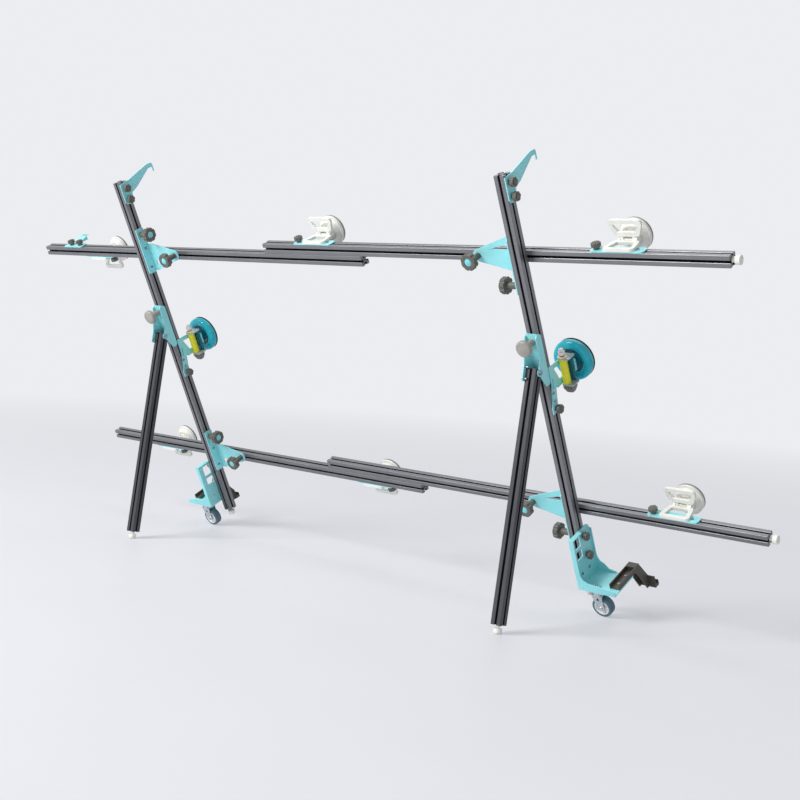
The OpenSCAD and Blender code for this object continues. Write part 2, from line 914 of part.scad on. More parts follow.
module pump_plunger(side) {
    color(plain_white)
        at_cup(side)
            translate([pump_x, pump_y, barrel_z + barrel_len]) {
                translate([0, 0, -14])
                    cylinder(d = stem_d, h = 14 + pump_stroke + 4);
                translate([0, 0, pump_stroke + 3])
                    cylinder(d1 = 25, d2 = 24, h = 9);
                translate([0, 0, pump_stroke + 12])
                    cylinder(d1 = 18, d2 = 16, h = 10);
            }
}

// Suction lifters: a plate clamped on a rail, and a lifter whose lever swings on its base.
// Each is [distance from the trolley's middle, base rail height, +1 on top or -1 below].

left_lifters = [[-1330, upper_rail_z, -1], [-1310, lower_rail_z, -1], [-20, lower_rail_z, -1]];
right_lifters = [[22, upper_rail_z, 1], [1330, upper_rail_z, 1], [1366, lower_rail_z, 1]];
function lifters(side) = side < 0 ? left_lifters : right_lifters;

plate_top = half + seat_gap + sheet_t;
handle_back = -62;
hinge_y = handle_back + 8;
hinge_pin_d = 8;
eye_r = hinge_pin_d / 2 + 3;
hinge_z = plate_top + eye_r + 1.5;
strut_len = 14;
lever_depth = 58;
ear_t = 7;
ear_x = 26;
disc_z = 32;
disc_y = -22;
handle_depth = 72;
lifter_knob_x = -85;
lifter_bolt_x = 62;

module at_lifter(side, place) {
    translate([place[0], 0, rail_z(side, place[1])])
        rotate([0, place[2] < 0 ? 180 : 0, 0])
            children();
}

module lifter_plate() {
    difference() {
        plate_z(half + seat_gap, sheet_t)
            polygon(rounded(box_pts(-92, 76, rail_front + 12, rail_front + profile_w - 12), 12));
        translate([lifter_knob_x, rail_y, half])
            cylinder(d = stud_hole, h = sheet_t + 2);
        translate([lifter_bolt_x, rail_y, half])
            cylinder(d = bolt_hole, h = sheet_t + 2);
    }
}

module lifter_plates(side) {
    color(teal)
        for (place = lifters(side))
            at_lifter(side, place)
                lifter_plate();
}

// Trapezoid loop seen from above, hinge side at Y = 0 and grip at Y = -depth
module handle_2d(depth, width, narrowing) {
    r = 14;
    bar = 15;
    wide = width / 2;
    narrow = wide * narrowing;
    difference() {
        polygon(rounded([[r - wide, r - depth], [wide - r, r - depth], [narrow - r, -r], [r - narrow, -r]], r));
        polygon(rounded([
            [bar + 6 - wide, bar + 6 - depth], [wide - bar - 6, bar + 6 - depth],
            [narrow - bar - 6, -bar - 6], [bar + 6 - narrow, -bar - 6]], 6, 4));
    }
}

module lifter_base() {
    // Fixed handle on the plate
    translate([0, handle_back, 0])
        plate_z(plate_top, handle_t)
            handle_2d(handle_depth, handle_w - 8, 0.86);
    // Hinge ears and pin
    for (x = [-ear_x - ear_t, ear_x])
        plate_x(x, ear_t)
            polygon(rounded([[handle_back - 3, plate_top + 5], [disc_y - 16, plate_top + 5],
                [disc_y - 16, plate_top + 18], [hinge_y - 3, hinge_z + 4]], 5));
    rod_x(-ear_x - 1, hinge_y, hinge_z, hinge_pin_d, 2 * ear_x + 2);
    // Ribbed neck between the ears and the disc
    translate([-ear_x, handle_back + 16, plate_top])
        cube([2 * ear_x, disc_y - handle_back - 20, 10]);
    for (x = [-ear_x + 4, 0, ear_x - 4])
        plate_x(x - 2, 4)
            polygon([[handle_back + 18, plate_top + 6], [disc_y - 8, plate_top + 6],
                [disc_y - 8, plate_top + 34], [handle_back + 24, plate_top + 20]]);
    // Housing and rubber disc
    rod_y(0, disc_y - 16, disc_z, 50, 8);
    translate([0, disc_y - 10, disc_z])
        rotate([-90, 0, 0])
            cylinder(d1 = 76, d2 = lifter_d - 8, h = 14);
    difference() {
        rod_y(0, disc_y + 3, disc_z, lifter_d, -disc_y - 3);
        rod_y(0, -5, disc_z, lifter_d - 24, 6);
    }
}

module lifter_bases(side) {
    color(plain_white)
        for (place = lifters(side))
            at_lifter(side, place)
                lifter_base();
}

module lifter_lever(side, index) {
    eye_t = 9;
    eye_x = ear_x - seat_gap - eye_t;
    color(plain_white)
        at_lifter(side, lifters(side)[index])
            translate([0, hinge_y, hinge_z])
                rotate([-lever_angle, 0, 0])
                    difference() {
                        union() {
                            translate([0, -strut_len, -handle_t / 2])
                                linear_extrude(handle_t)
                                    handle_2d(lever_depth, handle_w, 0.8);
                            for (x = [-eye_x - eye_t, eye_x])
                                plate_x(x, eye_t)
                                    union() {
                                        circle(r = eye_r);
                                        polygon(box_pts(-strut_len - 4, 0, 1 - handle_t / 2, handle_t / 2 - 1));
                                    }
                        }
                        rod_x(-ear_x, 0, 0, hinge_pin_d + 2 * run_gap, 2 * ear_x);
                    }
}

// Fasteners: slot nuts, bolts, pivot and stop pins, rail keys and fixed small knobs

// Key that joins two stacked rails, its middle at the gap between them
module rail_key(length) {
    head_w = cavity_w - 0.8;
    stem_w = slot_w - 0.6;
    head_t = 3;
    reach = seat_gap / 2 + lip_t + 0.3;
    translate([-length / 2, -stem_w / 2, -reach - 1])
        cube([length, stem_w, 2 * reach + 2]);
    for (z = [-reach - head_t, reach])
        translate([-length / 2, -head_w / 2, z])
            cube([length, head_w, head_t]);
}

module foot_knobs(side) {
    translate([side * upright_x, 0, 0])
        mirror([side < 0 ? 1 : 0, 0, 0])
            for (z = clamp_zs)
                translate([side_gap + sheet_t, upright_y, z])
                    rotate([0, 90, 0]) {
                        small_knob();
                        slot_nut();
                    }
}

module foot_bolts(side) {
    translate([side * upright_x, 0, 0])
        mirror([side < 0 ? 1 : 0, 0, 0]) {
            for (y = rest_bolt_y)
                translate([rest_x, y, base_top + rest_skin])
                    bolt(rest_skin + sheet_t + 3);
            for (y = wall_bolt_y)
                translate([side_gap + sheet_t, y, wall_bolt_z])
                    rotate([0, 90, 0])
                        bolt(sheet_t);
        }
}

module corner_fasteners(side) {
    for (base = [upper_rail_z, lower_rail_z])
        at_corner(side, base) {
            translate([-corner_reach, rail_front - sheet_t, 0])
                rotate([90, 0, 0])
                    translate([0, 0, seat_gap])
                        slot_nut();
            translate([-side_gap - sheet_t, upright_y, -corner_drop])
                rotate([0, -90, 0])
                    slot_nut();
            for (z = corner_bolt_z)
                translate([-side_gap - sheet_t, upright_y, z])
                    rotate([0, -90, 0])
                        bolt(sheet_t + 4);
        }
}

module leg_fasteners(side) {
    reach = side_gap + sheet_t;
    translate([side * upright_x, 0, 0]) {
        translate([0, upright_front - sheet_t, leg_knob_z])
            rotate([90, 0, 0])
                translate([0, 0, seat_gap])
                    rotate(90)
                        slot_nut();
        rod_x(-reach - 5, pivot_y, pivot_z, pivot_d, 2 * reach + 10);
        for (x = [-reach - 5, reach])
            rod_x(x, pivot_y, pivot_z, pivot_d + 6, 5);
        for (a = stop_along) {
            p = leg_point(a, stop_off);
            rod_x(-reach - 4, p[0], p[1], 2 * stop_r, sheet_t + stop_len + 4);
            rod_x(-reach - 4, p[0], p[1], 2 * stop_r + 5, 4);
        }
    }
}

module vacuum_fasteners(side) {
    at_cup(side) {
        translate([side_gap + sheet_t, upright_y, -vacuum_knob_drop])
            rotate([0, 90, 0]) {
                small_knob();
                slot_nut();
            }
        for (z = vacuum_bolt_z)
            translate([side_gap + sheet_t, upright_y, z])
                rotate([0, 90, 0])
                    bolt(sheet_t + 4);
    }
}

module lifter_fasteners(side) {
    for (place = lifters(side))
        at_lifter(side, place) {
            translate([lifter_knob_x, rail_y, plate_top]) {
                small_knob();
                slot_nut();
            }
            translate([lifter_bolt_x, rail_y, plate_top])
                bolt(sheet_t + 4);
        }
}

module fasteners(side) {
    key_len = 40;
    color(steel) {
        corner_fasteners(side);
        leg_fasteners(side);
        vacuum_fasteners(side);
        lifter_fasteners(side);
        foot_knobs(side);
        foot_bolts(side);
        for (base = [upper_rail_z, lower_rail_z])
            translate([side < 0 ? rail_x0[0] + rail_len - 29 : rail_x0[1] + 29, rail_y, base + stack / 2])
                rail_key(key_len);
    }
}

stand() upright(-1);  // left_upright
stand() upright(1);  // right_upright
stand() rail(-1, upper_rail_z);  // left_upper_rail
stand() rail(1, upper_rail_z);  // right_upper_rail
stand() rail(-1, lower_rail_z);  // left_lower_rail
stand() rail(1, lower_rail_z);  // right_lower_rail
stand() corner_brackets(-1);  // left_corner_brackets
stand() corner_brackets(1);  // right_corner_brackets
stand() leg_bracket(-1);  // left_leg_bracket
stand() leg_bracket(1);  // right_leg_bracket
stand() foot_bracket(-1);  // left_foot_bracket
stand() foot_bracket(1);  // right_foot_bracket
stand() slab_rest(-1);  // left_slab_rest
stand() slab_rest(1);  // right_slab_rest
stand() vacuum_bracket(-1);  // left_vacuum_bracket
stand() vacuum_bracket(1);  // right_vacuum_bracket
stand() vacuum_cup(-1);  // left_vacuum_cup
stand() vacuum_cup(1);  // right_vacuum_cup
stand() pump_barrel(-1);  // left_pump_barrel
stand() pump_barrel(1);  // right_pump_barrel
stand() pump_plunger(-1);  // left_pump_plunger
stand() pump_plunger(1);  // right_pump_plunger
stand() fasteners(-1);  // left_fasteners
stand() fasteners(1);  // right_fasteners
stand() lifter_plates(-1);  // left_lifter_plates
stand() lifter_plates(1);  // right_lifter_plates
stand() lifter_bases(-1);  // left_lifter_bases
stand() lifter_bases(1);  // right_lifter_bases
stand() end_feet(-1);  // left_end_feet
stand() end_feet(1);  // right_end_feet
stand() leg(-1);  // left_leg
stand() leg(1);  // right_leg
stand() leg_foot(-1);  // left_leg_foot
stand() leg_foot(1);  // right_leg_foot
stand() caster_fork(-1);  // left_caster_fork
stand() caster_fork(1);  // right_caster_fork
stand() caster_wheel(-1);  // left_caster_wheel
stand() caster_wheel(1);  // right_caster_wheel
stand() hook(-1);  // left_hook
stand() hook(1);  // right_hook
stand() rail_hook();
stand() hook_knobs(-1);  // left_hook_knobs
stand() hook_knobs(1);  // right_hook_knobs
stand() rail_hook_knobs();
stand() rail_knob(-1, upper_rail_z);  // left_upper_rail_knob
stand() rail_knob(1, upper_rail_z);  // right_upper_rail_knob
stand() rail_knob(-1, lower_rail_z);  // left_lower_rail_knob
stand() rail_knob(1, lower_rail_z);  // right_lower_rail_knob
stand() upright_knob(-1, upper_rail_z);  // left_upper_upright_knob
stand() upright_knob(1, upper_rail_z);  // right_upper_upright_knob
stand() upright_knob(-1, lower_rail_z);  // left_lower_upright_knob
stand() upright_knob(1, lower_rail_z);  // right_lower_upright_knob
stand() leg_knob(-1);  // left_leg_knob
stand() leg_knob(1);  // right_leg_knob
stand() lifter_lever(-1, 0);  // left_upper_lever
stand() lifter_lever(-1, 1);  // left_lower_outer_lever
stand() lifter_lever(-1, 2);  // left_lower_middle_lever
stand() lifter_lever(1, 0);  // right_upper_middle_lever
stand() lifter_lever(1, 1);  // right_upper_outer_lever
stand() lifter_lever(1, 2);  // right_lower_lever
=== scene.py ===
import json
import math
import bmesh
import bpy
from mathutils import Matrix, Vector


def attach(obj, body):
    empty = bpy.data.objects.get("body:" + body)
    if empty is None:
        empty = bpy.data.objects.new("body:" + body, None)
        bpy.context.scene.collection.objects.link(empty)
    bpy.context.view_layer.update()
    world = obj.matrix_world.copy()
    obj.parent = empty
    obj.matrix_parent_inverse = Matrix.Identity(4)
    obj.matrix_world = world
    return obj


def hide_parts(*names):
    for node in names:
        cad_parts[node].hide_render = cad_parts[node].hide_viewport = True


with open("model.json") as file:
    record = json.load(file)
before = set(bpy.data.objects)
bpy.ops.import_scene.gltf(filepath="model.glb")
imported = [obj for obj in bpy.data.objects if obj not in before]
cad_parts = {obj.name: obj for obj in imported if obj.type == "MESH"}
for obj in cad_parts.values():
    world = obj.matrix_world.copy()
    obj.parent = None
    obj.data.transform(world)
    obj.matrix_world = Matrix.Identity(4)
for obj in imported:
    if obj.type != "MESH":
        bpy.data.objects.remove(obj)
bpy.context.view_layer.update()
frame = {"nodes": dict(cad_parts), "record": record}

# Directions. The trolley leans back, so places are worked out along its own three directions:
# X along the rails, N from the operator to the slab, U up the uprights.

JOINTS = {j["name"]: j for j in frame["record"]["behaviour"]["joints"]}
X = Vector((1, 0, 0))
N = Vector(JOINTS["left_wheel_spin"]["axis"])
U = Vector(JOINTS["left_caster_swivel"]["axis"])
SIDES = ("left", "right")
SIGN = {"left": -1, "right": 1}


def joint_place(joint):
    """Point that a joint turns or slides about, at rest, in metres."""
    return Vector(JOINTS[joint]["pos_m"])


def own(v):
    """Vector given along X, N and U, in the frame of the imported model."""
    return X * v[0] + N * v[1] + U * v[2]


# Own frame in millimetres: X from the trolley's middle, N from the slab's back, U from its
# bottom edge. The casters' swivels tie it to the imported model.

UPRIGHT_X = {"left": -971, "right": 971}
SWIVEL_OUT = 84
SWIVEL_Y = -208.3
SWIVEL_Z = 96
SWIVEL_MM = (UPRIGHT_X["right"] + SWIVEL_OUT, SWIVEL_Y, SWIVEL_Z)
ORIGIN = joint_place("right_caster_swivel") - own([v / 1000 for v in SWIVEL_MM])


def point(x, y, z):
    return ORIGIN + own((x / 1000, y / 1000, z / 1000))


# Camera, at the photograph's place relative to the right leg's pivot, in metres along X, N and U

CAMERA_FROM_PIVOT = (2.381, -3.1001, 1.794)
LOOK = (-0.6357, 0.6515, -0.4140)
UP = (-0.0961, 0.4653, 0.8799)
LENS_MM = 57.03
SENSOR_MM = 36
CLIP_END = 60


def make_camera():
    data = bpy.data.cameras.new("camera")
    data.lens = LENS_MM
    data.sensor_width = SENSOR_MM
    data.clip_end = CLIP_END
    camera = bpy.data.objects.new("camera", data)
    bpy.context.scene.collection.objects.link(camera)
    look = own(LOOK).normalized()
    side = look.cross(own(UP)).normalized()
    up = side.cross(look)
    turn = Matrix((side, up, -look)).transposed().to_4x4()
    place = joint_place("right_leg_fold") + own(CAMERA_FROM_PIVOT)
    camera.matrix_world = Matrix.Translation(place) @ turn
    bpy.context.scene.camera = camera


make_camera()


# Materials. Noise scales are in cells per metre, bump depths and distances in metres.

NOISE_RANGE = (0.3, 0.7)      # where most of a noise's values lie
NOISE_ROUGHNESS = 0.55
# The next four set the shade painted into the profiles' slots: an ambient occlusion test and the
# dark colour it mixes in.
SLOT_REACH = 0.014            # how far round a point the slot test looks
SLOT_RANGE = (0.62, 0.95)     # its values in a slot and on an open face
SLOT_SAMPLES = 12
SLOT_SHADE_COLOUR = "101013"
PAD_AND_SHADE_DEPTH = 0.008             # the lifters' grey lies this near the slab: rubber pad and painted shade
DRAWN = (1.0, 60.0, 60.0)     # stretches a profile's grain along X
FINE_GRAIN = 1400
GLOSSY_GRAIN = 300
COAT_WEIGHT = 0.15
COAT_ROUGHNESS = 0.25


def srgb(hex_colour):
    """Linear colour of a hex string."""
    channels = [int(hex_colour[i:i + 2], 16) / 255 for i in (0, 2, 4)]
    linear = [c / 12.92 if c <= 0.04045 else ((c + 0.055) / 1.055) ** 2.4 for c in channels]
    return (*linear, 1)


class Nodes:
    """A material's node tree, with short ways to add to it."""

    def __init__(self, name):
        self.material = bpy.data.materials.new(name)
        self.material.use_nodes = True
        self.tree = self.material.node_tree
        self.shader = self.tree.nodes["Principled BSDF"]

    def add(self, kind, inputs=None, **settings):
        node = self.tree.nodes.new(kind)
        for key, value in settings.items():
            setattr(node, key, value)
        for key, value in (inputs or {}).items():
            self.put(node.inputs[key], value)
        return node

    def put(self, socket, value):
        if isinstance(value, bpy.types.NodeSocket):
            self.tree.links.new(value, socket)
        else:
            socket.default_value = value

    def set(self, **values):
        for key, value in values.items():
            self.put(self.shader.inputs[key.replace("_", " ")], value)

    def place(self):
        return self.add("ShaderNodeTexCoord").outputs["Object"]

    def noise(self, scale, detail, where=None):
        inputs = {"Vector": where or self.place(), "Scale": scale, "Detail": detail,
                  "Roughness": NOISE_ROUGHNESS}
        return self.add("ShaderNodeTexNoise", inputs).outputs["Fac"]

    def ramp(self, value, span, low, high):
        """Value taken from span to low and high, held at the ends."""
        inputs = {"Value": value, "From Min": span[0], "From Max": span[1],
                  "To Min": low, "To Max": high}
        return self.add("ShaderNodeMapRange", inputs).outputs["Result"]

    def spread(self, noise, low, high):
        return self.ramp(noise, NOISE_RANGE, low, high)

    def mix(self, fac, a, b):
        node = self.add("ShaderNodeMix", data_type="RGBA")
        self.put(node.inputs["Factor"], fac)
        self.put(node.inputs["A"], a)
        self.put(node.inputs["B"], b)
        return node.outputs["Result"]

    def clouded(self, cloud, dark, light):
        """Colour that drifts between two hex colours with a noise."""
        return self.mix(self.spread(cloud, 0.0, 1.0), srgb(dark), srgb(light))

    def bump(self, height, depth, strength):
        inputs = {"Height": height, "Distance": depth, "Strength": strength}
        node = self.add("ShaderNodeBump", inputs)
        self.put(self.shader.inputs["Normal"], node.outputs["Normal"])

    def painted_slot_shade(self):
        """Low in a slot and high on an open face; it masks the shade painted into the slots."""
        node = self.add("ShaderNodeAmbientOcclusion", {"Distance": SLOT_REACH},
                        samples=SLOT_SAMPLES, only_local=True)
        return node.outputs["AO"]

    def along_n(self):
        """Distance from the slab's back, negative towards the operator."""
        dot = self.add("ShaderNodeVectorMath", operation="DOT_PRODUCT")
        self.put(dot.inputs[0], self.place())
        self.put(dot.inputs[1], tuple(N))
        return self.add("ShaderNodeMath", {0: dot.outputs["Value"], 1: N.dot(ORIGIN)},
                        operation="SUBTRACT").outputs["Value"]


def black_profile(name, dark, light):
    """Anodised aluminium with a drawn grain, with painted shade that turns the slots black."""
    m = Nodes(name)
    drawn = m.add("ShaderNodeMapping", {"Vector": m.place(), "Scale": DRAWN}).outputs["Vector"]
    grain = m.noise(14, 3, drawn)
    cloud = m.noise(5, 3)
    face = m.mix(m.spread(cloud, 0.2, 0.8), srgb(dark), srgb(light))
    # Painted shade: the slot colour is mixed in where the occlusion test finds a slot.
    unshaded_face = m.ramp(m.painted_slot_shade(), SLOT_RANGE, 0.0, 1.0)
    m.set(Base_Color=m.mix(unshaded_face, srgb(SLOT_SHADE_COLOUR), face), Metallic=0.55,
          Roughness=m.spread(grain, 0.30, 0.42))
    m.bump(grain, 0.00004, 0.4)
    return m.material


def lifter_moulding():
    """White moulding, grey towards the slab: a rubber pad, whose grey is also painted shade on the
    dome's side.
    """
    m = Nodes("lifter_moulding")
    pad_and_shade = m.add("ShaderNodeMath", {0: m.along_n(), 1: -PAD_AND_SHADE_DEPTH},
                operation="GREATER_THAN").outputs["Value"]
    cloud = m.noise(25, 4)
    fine = m.noise(FINE_GRAIN, 2)
    white = m.clouded(cloud, "efede4", "f8f6ef")
    # Partly painted shade: this grey stands for the rubber pad and for the shade on the dome's
    # side nearest the slab.
    rubber = m.clouded(cloud, "7c7f7d", "8a8d8b")
    m.set(Base_Color=m.mix(pad_and_shade, white, rubber), Roughness=m.spread(fine, 0.32, 0.44))
    m.bump(fine, 0.00008, 0.5)
    return m.material


def powder_coat(name, dark, light, rough):
    """Painted sheet with a slight orange peel."""
    m = Nodes(name)
    orange_peel = m.noise(900, 2)
    cloud = m.noise(9, 4)
    m.set(Base_Color=m.clouded(cloud, dark, light),
          Roughness=m.spread(cloud, rough - 0.05, rough + 0.07),
          Coat_Weight=COAT_WEIGHT, Coat_Roughness=COAT_ROUGHNESS)
    m.bump(orange_peel, 0.00012, 0.35)
    return m.material


def moulded(name, dark, light, rough, grain=FINE_GRAIN, depth=0.00008):
    """Moulded plastic or rubber."""
    m = Nodes(name)
    cloud = m.noise(25, 4)
    fine = m.noise(grain, 2)
    m.set(Base_Color=m.clouded(cloud, dark, light),
          Roughness=m.spread(fine, rough - 0.06, rough + 0.06))
    m.bump(fine, depth, 0.5)
    return m.material


def plated(name, dark, light, rough):
    """Plated steel with a faint mottle."""
    m = Nodes(name)
    cloud = m.noise(60, 4)
    m.set(Base_Color=m.clouded(cloud, dark, light), Metallic=1.0,
          Roughness=m.spread(cloud, rough - 0.05, rough + 0.08))
    m.bump(m.noise(500, 3), 0.00005, 0.3)
    return m.material


# One material for each of the record's slots, and one for each finish that differs from its slot;
# the leg's is the black anodised made darker as painted shade

MATERIALS = {
    "black_profile": black_profile("black_anodised", "74757a", "868789"),
    "teal_sheet": powder_coat("teal_powder_coat", "90e2e8", "a0eef2", 0.36),
    "rest_paint": powder_coat("dark_powder_coat", "46423a", "514c43", 0.55),
    "cup_plastic": moulded("cyan_moulding", "0fa9bd", "17bccd", 0.16, GLOSSY_GRAIN, 0.00003),
    "pump_yellow": moulded("yellow_moulding", "efe722", "f8f22e", 0.22, GLOSSY_GRAIN, 0.00003),
    "white_plastic": moulded("white_moulding", "efede4", "f8f6ef", 0.38),
    "knob_plastic": moulded("knob_moulding", "5b5851", "69665e", 0.52),
    "bolt_steel": plated("bolt_steel", "7f8488", "a3a8ab", 0.34),
    "zinc_plate": plated("zinc_plate", "c3c8cc", "dde0e2", 0.24),
    "wheel_tread": moulded("blue_grey_tread", "4f6875", "5c7784", 0.5),
}
FINISH = {
    # Painted shade: the leg's profile is the same black anodised as the rest, made darker because
    # it lies in shade.
    "leg": black_profile("leg_anodised_painted_shade", "44454a", "525357"),
    "lifter": lifter_moulding(),
    "cap": powder_coat("cap_teal", "6fcfd8", "84e0e6", 0.22),
    "leg_knob": moulded("pale_knob_moulding", "98948c", "a8a49c", 0.36),
    "rim": moulded("rim_moulding", "f2f3f3", "fafafa", 0.3),
    "hub": moulded("hub_moulding", "a9adb0", "bbbfc1", 0.4),
    "dish": moulded("dark_teal_moulding", "0d5f6b", "127786", 0.3, GLOSSY_GRAIN, 0.00003),
    "plate": moulded("grey_clear_moulding", "aebabc", "c0cacc", 0.14, GLOSSY_GRAIN, 0.00002),
    "valve": moulded("valve_moulding", "706c66", "827e77", 0.4),
    "red": moulded("red_ring_moulding", "c9382c", "d8463a", 0.3),
    "rubber": moulded("dark_rubber", "2f3234", "3d4042", 0.55),
}


# CAD nodes: their materials, and bevels on their edges, in metres for each slot

EDGES = {"teal_sheet": 0.0008, "rest_paint": 0.0006, "white_plastic": 0.0022,
         "knob_plastic": 0.0018, "zinc_plate": 0.0008, "bolt_steel": 0.0005}
NODE_FINISH = {"lifter_bases": "lifter", "_leg": "leg"}
CAD_EDGE_ANGLE = math.radians(40)
PIECE_EDGE_ANGLE = math.radians(38)


def add_bevel(obj, width, segments, angle):
    bevel = obj.modifiers.new("edges", "BEVEL")
    bevel.width = width
    bevel.segments = segments
    bevel.limit_method = "ANGLE"
    bevel.angle_limit = angle


for part in frame["record"]["subparts"]:
    node = frame["nodes"][part["node"]]
    slot = part["material_slot"]
    material = MATERIALS[slot]
    for ending, finish in NODE_FINISH.items():
        if part["node"].endswith(ending):
            material = FINISH[finish]
    node.data.materials.clear()
    node.data.materials.append(material)
    if slot in EDGES:
        add_bevel(node, EDGES[slot], 2, CAD_EDGE_ANGLE)


# Making of pieces. Places are in the own frame, in millimetres; every piece rides on a body.

EX, EY, EZ = (1, 0, 0), (0, 1, 0), (0, 0, 1)
WELD = 1e-6                   # corners this near each other become one, in metres
PLATE_EDGE = 0.8              # rounding of a plate's edges
FINE_STEPS = 96               # facets round the larger turned pieces


def finish_piece(obj, material, body, replaced=()):
    obj.data.materials.append(material)
    bpy.context.scene.collection.objects.link(obj)
    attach(obj, body)
    if replaced:
        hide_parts(*replaced)


def mesh_piece(name, verts, faces, material, body, replaced=(), bevel=0.0):
    mesh = bpy.data.meshes.new(name)
    mesh.from_pydata([point(*v) for v in verts], [], faces)
    bm = bmesh.new()
    bm.from_mesh(mesh)
    bmesh.ops.remove_doubles(bm, verts=bm.verts, dist=WELD)
    bmesh.ops.recalc_face_normals(bm, faces=bm.faces)
    bm.to_mesh(mesh)
    bm.free()
    mesh.shade_smooth()
    mesh.set_sharp_from_angle(angle=PIECE_EDGE_ANGLE)
    obj = bpy.data.objects.new(name, mesh)
    if bevel:
        add_bevel(obj, bevel / 1000, 3, PIECE_EDGE_ANGLE)
    finish_piece(obj, material, body, replaced)


def scalloped(theta, lobes, head_r, centre_r, cut_r):
    """Radius of a knob's head at an angle, cut by round scallops."""
    step = 2 * math.pi / lobes
    off = abs((theta + step / 2) % step - step / 2)
    reach = centre_r * math.sin(off)
    if reach >= cut_r:
        return head_r
    return min(head_r, centre_r * math.cos(off) - math.sqrt(cut_r ** 2 - reach ** 2))


def lathe(name, centre, along, start, loop, material, body, ring=False, replaced=(),
          steps=72, lobes=None):
    """Turned piece. along is its axis and start the direction of angle 0, both in the own frame;
    loop lists (radius, height), and a third value True gives that ring the scallops of lobes.
    With ring, the loop closes on itself."""
    a = Vector(along).normalized()
    b = Vector(start).normalized()
    c = a.cross(b)
    verts, rings = [], []
    for entry in loop:
        r, h = entry[:2]
        ids = []
        for k in range(steps):
            t = 2 * math.pi * k / steps
            rr = r
            if lobes and len(entry) > 2:
                rr = min(r, scalloped(t, *lobes) - (lobes[1] - r))
            v = Vector(centre) + a * h + (b * math.cos(t) + c * math.sin(t)) * rr
            ids.append(len(verts))
            verts.append(tuple(v))
        rings.append(ids)
    faces = []
    pairs = list(zip(rings, rings[1:]))
    if ring:
        pairs.append((rings[-1], rings[0]))
    for lower, upper in pairs:
        for k in range(steps):
            n = (k + 1) % steps
            faces.append((lower[k], lower[n], upper[n], upper[k]))
    mesh_piece(name, verts, faces, material, body, replaced)


def loft(name, rings, material, body, bevel=0.0):
    """Closed piece through outlines of equal length, each a list of points."""
    verts = [p for r in rings for p in r]
    n = len(rings[0])
    faces = [tuple(range(n)), tuple(range(n * (len(rings) - 1), n * len(rings)))]
    for j in range(len(rings) - 1):
        for k in range(n):
            m = (k + 1) % n
            faces.append((j * n + k, j * n + m, (j + 1) * n + m, (j + 1) * n + k))
    mesh_piece(name, verts, faces, material, body, bevel=bevel)


def rounded_box(x0, x1, y0, y1, r, steps=6):
    """Outline of a rectangle with round corners."""
    corners = ((x1 - r, y1 - r, 0), (x0 + r, y1 - r, 90), (x0 + r, y0 + r, 180),
               (x1 - r, y0 + r, 270))
    points = []
    for cx, cy, a0 in corners:
        for k in range(steps + 1):
            t = math.radians(a0 + 90 * k / steps)
            points.append((cx + r * math.cos(t), cy + r * math.sin(t)))
    return points


def circle(x, y, r, steps=48):
    angles = [2 * math.pi * k / steps for k in range(steps)]
    return [(x + r * math.cos(t), y + r * math.sin(t)) for t in angles]


def plate(name, outlines, z0, z1, material, body):
    """Plate square to U with rounded edges. The first outline is its rim, the others are holes."""
    data = bpy.data.curves.new(name, "CURVE")
    data.dimensions = "2D"
    data.fill_mode = "BOTH"
    data.extrude = (z1 - z0) / 2000 - PLATE_EDGE / 1000
    data.bevel_depth = PLATE_EDGE / 1000
    data.bevel_resolution = 2
    data.offset = -PLATE_EDGE / 1000
    for outline in outlines:
        spline = data.splines.new("POLY")
        spline.points.add(len(outline) - 1)
        for p, (x, y) in zip(spline.points, outline):
            p.co = (x / 1000, y / 1000, 0, 1)
        spline.use_cyclic_u = True
    obj = bpy.data.objects.new(name, data)
    turn = Matrix((X, N, U)).transposed().to_4x4()
    obj.matrix_world = Matrix.Translation(point(0, 0, (z0 + z1) / 2)) @ turn
    finish_piece(obj, material, body)


# Places of the profiles and of what is on them

UPRIGHT_Y = -152.3
RAIL_Y = -112
RAIL_Z = {"left": {"upper": 1314, "lower": 336}, "right": {"upper": 1354.3, "lower": 376.3}}
SHEET_FACE = 24.3             # from an upright's middle to the outer face of a sheet on it
RAIL_SHEET_FACE = 24
CUP_Z = {"left": 885, "right": 922}
LIFTERS = {"left": [(-1330, "upper"), (-1310, "lower"), (-20, "lower")],
           "right": [(22, "upper"), (1330, "upper"), (1366, "lower")]}


# Domed caps in the heads of the corner knobs

KNOB_TOP = 64                 # from the sheet to the top of the knob
KNOB_ALONG_RAIL = 178         # from the upright's middle
KNOB_ALONG_UPRIGHT = {"left": 98, "right": -98}    # from the rail's middle
CAP_DOME = [(0, 2.4), (4, 2.2), (8, 1.5), (11, 0.5), (13.2, -0.8), (14.4, -1.9), (14.6, -2.4),
            (0, -2.4)]


def knob_caps(side):
    ux, sg = UPRIGHT_X[side], SIGN[side]
    for level in ("upper", "lower"):
        z = RAIL_Z[side][level]
        on_rail = (ux - sg * KNOB_ALONG_RAIL, RAIL_Y - RAIL_SHEET_FACE - KNOB_TOP, z)
        on_upright = (ux - sg * (SHEET_FACE + KNOB_TOP), UPRIGHT_Y,
                      z + KNOB_ALONG_UPRIGHT[side])
        lathe(f"{side}_{level}_rail_knob_cap", on_rail, (0, -1, 0), EX, CAP_DOME,
              FINISH["cap"], f"{side}_{level}_rail_knob_body")
        lathe(f"{side}_{level}_upright_knob_cap", on_upright, (-sg, 0, 0), EZ, CAP_DOME,
              FINISH["cap"], f"{side}_{level}_upright_knob_body")


# Plain domed knobs on the leg brackets, each with its stud down in the slot

